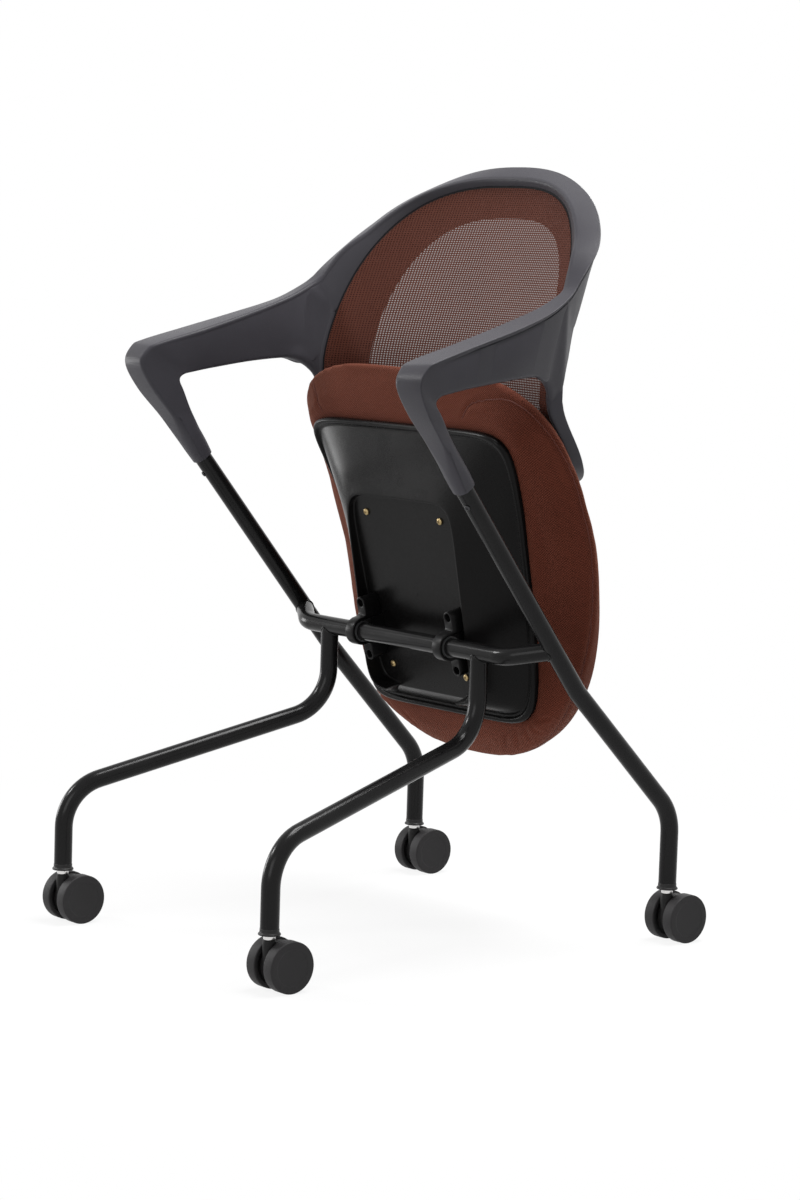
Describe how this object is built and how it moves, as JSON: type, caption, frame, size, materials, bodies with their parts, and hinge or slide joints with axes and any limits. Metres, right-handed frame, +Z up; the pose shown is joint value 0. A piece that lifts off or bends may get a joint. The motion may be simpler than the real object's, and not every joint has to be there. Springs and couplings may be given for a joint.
{
  "type": "mesh office chair",
  "caption": "Nesting office chair with a stretched mesh back in a moulded frame with arms, a flip-up padded seat, bent tube legs and swivel castors.",
  "frame": {"origin": "middle of the footprint on the floor", "axes": "+Z up, the chair faces -Y, the sitter's left is +X"},
  "size_m": [0.5902, 0.637, 0.9357],
  "materials": {
    "tube": "satin black powder coat",
    "moulding": "fine-textured charcoal",
    "mesh": "open knitted mesh, rust brown",
    "lining": "closed knit, rust brown",
    "spline": "black",
    "fabric": "fine twill over foam, rust brown",
    "plywood": "bare plywood",
    "pan": "semi-gloss black",
    "clamp": "black nylon",
    "bush": "natural black acetal",
    "screw_brass": "yellow passivated",
    "screw_steel": "plain",
    "ferrule": "black",
    "castor_body": "black nylon",
    "stem": "bright",
    "axle": "plain",
    "wheel": "dark grey nylon"
  },
  "bodies": {
    "chair_frame": {"back_frame": "moulding", "back_mesh": "mesh", "mesh_lining": "lining", "mesh_spline": "spline", "left_rear_leg": "tube", "right_rear_leg": "tube", "left_front_leg": "tube", "right_front_leg": "tube", "crossbar": "tube", "left_arm_screw": "screw_steel", "right_arm_screw": "screw_steel", "front_left_bushing": "ferrule", "front_right_bushing": "ferrule", "rear_left_bushing": "ferrule", "rear_right_bushing": "ferrule"},
    "seat": {"seat_cushion": "fabric", "seat_board": "plywood", "seat_pan": "pan", "left_hinge_clamp": "clamp", "right_hinge_clamp": "clamp", "left_hinge_bush": "bush", "right_hinge_bush": "bush", "left_hinge_packing": "clamp", "right_hinge_packing": "clamp", "front_left_pan_screw": "screw_brass", "front_right_pan_screw": "screw_brass", "rear_left_pan_screw": "screw_brass", "rear_right_pan_screw": "screw_brass", "front_left_clamp_screw": "screw_steel", "front_right_clamp_screw": "screw_steel", "rear_left_clamp_screw": "screw_steel", "rear_right_clamp_screw": "screw_steel"},
    "front_left_castor": {"front_left_castor_housing": "castor_body", "front_left_castor_stem": "stem", "front_left_castor_axle": "axle"},
    "front_left_outer_roller": {"front_left_outer_wheel": "wheel"},
    "front_left_inner_roller": {"front_left_inner_wheel": "wheel"},
    "front_right_castor": {"front_right_castor_housing": "castor_body", "front_right_castor_stem": "stem", "front_right_castor_axle": "axle"},
    "front_right_outer_roller": {"front_right_outer_wheel": "wheel"},
    "front_right_inner_roller": {"front_right_inner_wheel": "wheel"},
    "rear_left_castor": {"rear_left_castor_housing": "castor_body", "rear_left_castor_stem": "stem", "rear_left_castor_axle": "axle"},
    "rear_left_outer_roller": {"rear_left_outer_wheel": "wheel"},
    "rear_left_inner_roller": {"rear_left_inner_wheel": "wheel"},
    "rear_right_castor": {"rear_right_castor_housing": "castor_body", "rear_right_castor_stem": "stem", "rear_right_castor_axle": "axle"},
    "rear_right_outer_roller": {"rear_right_outer_wheel": "wheel"},
    "rear_right_inner_roller": {"rear_right_inner_wheel": "wheel"}
  },
  "joints": [
    {"name": "seat_flip", "type": "hinge", "parent": "chair_frame", "child": "seat", "pos_m": [0, 0.044, 0.357], "axis": [1, 0, 0], "range_deg": [0, 73]},
    {"name": "front_left_swivel", "type": "hinge", "parent": "chair_frame", "child": "front_left_castor", "pos_m": [0.2145, -0.3045, 0.06], "axis": [0, 0, 1], "continuous": true},
    {"name": "front_left_outer_roll", "type": "hinge", "parent": "front_left_castor", "child": "front_left_outer_roller", "pos_m": [0.2145, -0.2885, 0.03], "axis": [1, 0, 0], "continuous": true},
    {"name": "front_left_inner_roll", "type": "hinge", "parent": "front_left_castor", "child": "front_left_inner_roller", "pos_m": [0.2145, -0.2885, 0.03], "axis": [1, 0, 0], "continuous": true},
    {"name": "front_right_swivel", "type": "hinge", "parent": "chair_frame", "child": "front_right_castor", "pos_m": [-0.2145, -0.3045, 0.06], "axis": [0, 0, 1], "continuous": true},
    {"name": "front_right_outer_roll", "type": "hinge", "parent": "front_right_castor", "child": "front_right_outer_roller", "pos_m": [-0.2145, -0.2885, 0.03], "axis": [1, 0, 0], "continuous": true},
    {"name": "front_right_inner_roll", "type": "hinge", "parent": "front_right_castor", "child": "front_right_inner_roller", "pos_m": [-0.2145, -0.2885, 0.03], "axis": [1, 0, 0], "continuous": true},
    {"name": "rear_left_swivel", "type": "hinge", "parent": "chair_frame", "child": "rear_left_castor", "pos_m": [0.2475, 0.2725, 0.06], "axis": [0, 0, 1], "continuous": true},
    {"name": "rear_left_outer_roll", "type": "hinge", "parent": "rear_left_castor", "child": "rear_left_outer_roller", "pos_m": [0.2475, 0.2885, 0.03], "axis": [1, 0, 0], "continuous": true},
    {"name": "rear_left_inner_roll", "type": "hinge", "parent": "rear_left_castor", "child": "rear_left_inner_roller", "pos_m": [0.2475, 0.2885, 0.03], "axis": [1, 0, 0], "continuous": true},
    {"name": "rear_right_swivel", "type": "hinge", "parent": "chair_frame", "child": "rear_right_castor", "pos_m": [-0.2475, 0.2725, 0.06], "axis": [0, 0, 1], "continuous": true},
    {"name": "rear_right_outer_roll", "type": "hinge", "parent": "rear_right_castor", "child": "rear_right_outer_roller", "pos_m": [-0.2475, 0.2885, 0.03], "axis": [1, 0, 0], "continuous": true},
    {"name": "rear_right_inner_roll", "type": "hinge", "parent": "rear_right_castor", "child": "rear_right_inner_roller", "pos_m": [-0.2475, 0.2885, 0.03], "axis": [1, 0, 0], "continuous": true}
  ]
}
